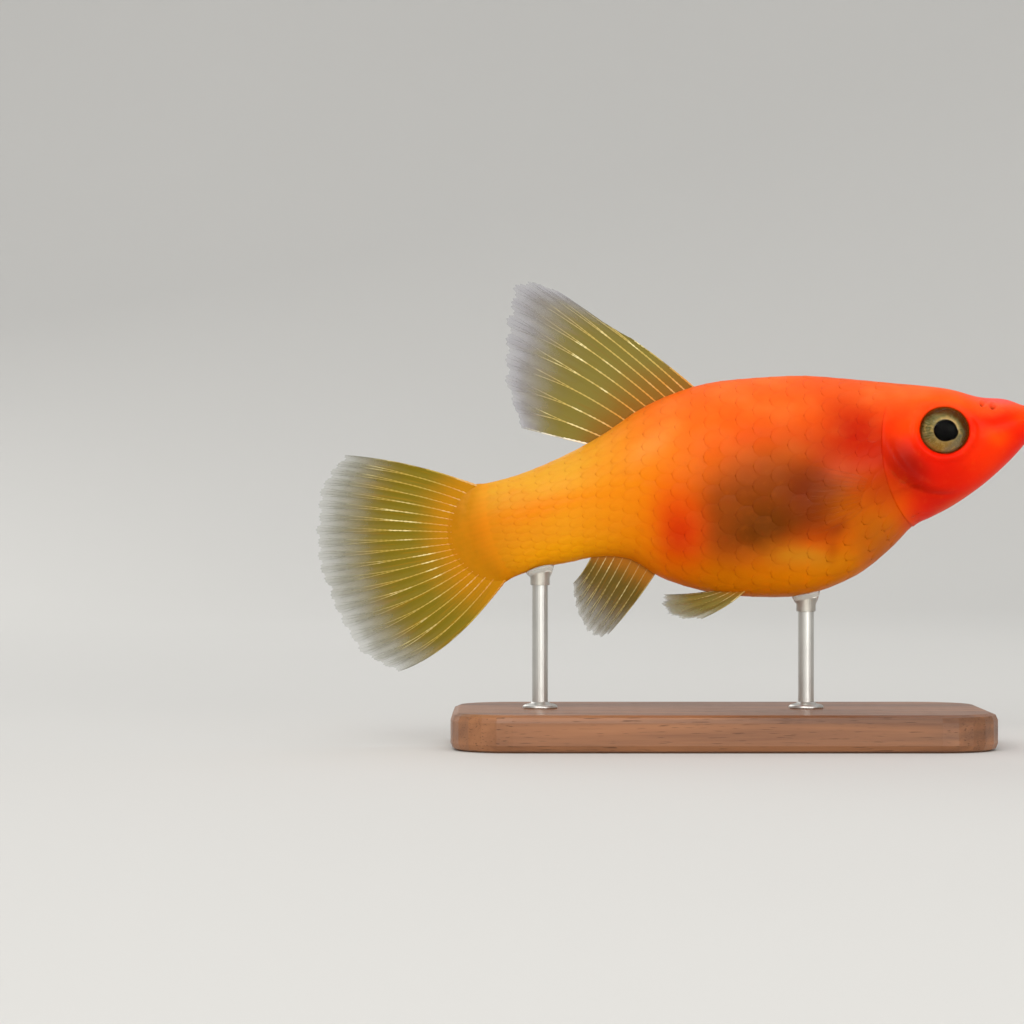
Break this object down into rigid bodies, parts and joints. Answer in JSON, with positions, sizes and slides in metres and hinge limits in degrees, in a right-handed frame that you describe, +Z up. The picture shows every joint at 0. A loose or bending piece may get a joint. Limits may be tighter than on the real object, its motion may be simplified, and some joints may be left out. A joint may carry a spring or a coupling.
{
  "type": "hifin platy",
  "caption": "Life-size orange hifin platy, a small aquarium fish with a tall swept-back dorsal fin, held above a flat base by slim pins.",
  "frame": {"origin": "centre of the underside of the stand's base, which rests on the floor", "axes": "+X towards the fish's snout, +Y to its left, +Z up"},
  "size_m": [0.0601, 0.022, 0.038],
  "materials": {
    "skin": "wet, faintly scaled orange skin, redder on the head and yellower towards the tail",
    "eye": "clear cornea over an olive-gold iris with a black pupil",
    "fin": "thin clear membrane with golden rays",
    "clear_fin": "almost colourless membrane with fine rays",
    "walnut": "oiled dark walnut",
    "steel": "brushed steel"
  },
  "bodies": {
    "root": {"head": "skin", "trunk": "skin", "tail": "skin", "eye_left": "eye", "eye_right": "eye", "dorsal_fin": "fin", "caudal_fin": "fin", "anal_fin": "fin", "pelvic_fin_left": "fin", "pelvic_fin_right": "fin", "pectoral_fin_left": "clear_fin", "pectoral_fin_right": "clear_fin", "stand_base": "walnut", "stand_pin_front": "steel", "stand_pin_rear": "steel"}
  },
  "joints": []
}
